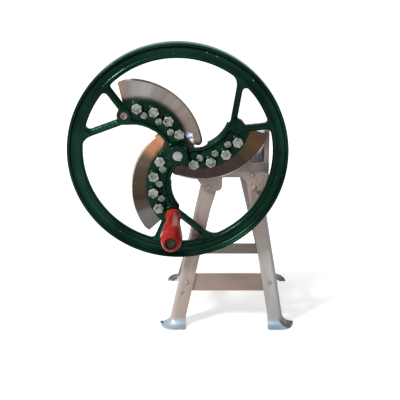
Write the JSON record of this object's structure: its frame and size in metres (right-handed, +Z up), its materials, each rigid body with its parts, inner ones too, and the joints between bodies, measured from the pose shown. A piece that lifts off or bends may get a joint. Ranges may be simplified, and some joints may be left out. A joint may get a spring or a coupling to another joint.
{
  "type": "vegetable cutting machine",
  "caption": "Hand-turned vegetable cutter: a flywheel with curved blades on its arms and a side grip turns past the mouth of a braced stand on splayed legs.",
  "frame": {"origin": "on the floor, under the middle of the whole machine's outer box", "axes": "+Z up; the shaft lies along Y and the grip points to -Y, towards the person who turns it; +X to that person's right, where the mouth is"},
  "size_m": [0.4828, 0.4626, 0.6235],
  "materials": {
    "green_enamel": "glossy dark green enamel on cast iron",
    "blade_steel": "ground and polished",
    "zinc_steel": "dull zinc plating",
    "turned_steel": "bright turned steel",
    "bronze": "machined bronze",
    "red_lacquer": "glossy red lacquer on turned wood",
    "silver_paint": "aluminium paint over cast and folded iron",
    "galvanised": "galvanised sheet"
  },
  "bodies": {
    "stand": {"main_frame": "silver_paint", "shear_bar": "silver_paint", "feed_trough": "galvanised", "front_bush": "bronze", "rear_bush": "bronze", "front_brace": "silver_paint", "rear_brace": "silver_paint", "left_brace": "silver_paint", "right_brace": "silver_paint", "trough_screw_1": "zinc_steel", "trough_screw_2": "zinc_steel", "front_left_leg": "silver_paint", "front_left_leg_bolt_1": "silver_paint", "front_left_leg_bolt_2": "silver_paint", "front_left_brace_bolt": "silver_paint", "front_right_leg": "silver_paint", "front_right_leg_bolt_1": "silver_paint", "front_right_leg_bolt_2": "silver_paint", "front_right_brace_bolt": "silver_paint", "rear_left_leg": "silver_paint", "rear_left_leg_bolt_1": "silver_paint", "rear_left_leg_bolt_2": "silver_paint", "rear_left_brace_bolt": "silver_paint", "rear_right_leg": "silver_paint", "rear_right_leg_bolt_1": "silver_paint", "rear_right_leg_bolt_2": "silver_paint", "rear_right_brace_bolt": "silver_paint"},
    "wheel": {"flywheel": "green_enamel", "blade_1": "blade_steel", "blade_bolt_1_1": "zinc_steel", "blade_bolt_1_2": "zinc_steel", "blade_bolt_1_3": "zinc_steel", "blade_bolt_1_4": "zinc_steel", "adjusting_screw_1_1": "zinc_steel", "adjusting_screw_1_2": "zinc_steel", "adjusting_screw_1_3": "zinc_steel", "blade_2": "blade_steel", "blade_bolt_2_1": "zinc_steel", "blade_bolt_2_2": "zinc_steel", "blade_bolt_2_3": "zinc_steel", "blade_bolt_2_4": "zinc_steel", "adjusting_screw_2_1": "zinc_steel", "adjusting_screw_2_2": "zinc_steel", "adjusting_screw_2_3": "zinc_steel", "blade_3": "blade_steel", "blade_bolt_3_1": "zinc_steel", "blade_bolt_3_2": "zinc_steel", "blade_bolt_3_3": "zinc_steel", "blade_bolt_3_4": "zinc_steel", "adjusting_screw_3_1": "zinc_steel", "adjusting_screw_3_2": "zinc_steel", "adjusting_screw_3_3": "zinc_steel", "crank_bolt": "zinc_steel", "crank_nut": "zinc_steel", "wheel_shaft": "turned_steel", "hub_key": "turned_steel", "shaft_collar": "turned_steel", "collar_screw": "zinc_steel"},
    "grip": {"handle_grip": "red_lacquer"}
  },
  "joints": [
    {"name": "wheel_spin", "type": "hinge", "parent": "stand", "child": "wheel", "pos_m": [-0.01289, 0.03805, 0.395], "axis": [0, 1, 0], "continuous": true},
    {"name": "grip_spin", "type": "hinge", "parent": "wheel", "child": "grip", "pos_m": [-0.02325, -0.15195, 0.26117], "axis": [0, 1, 0], "continuous": true}
  ]
}
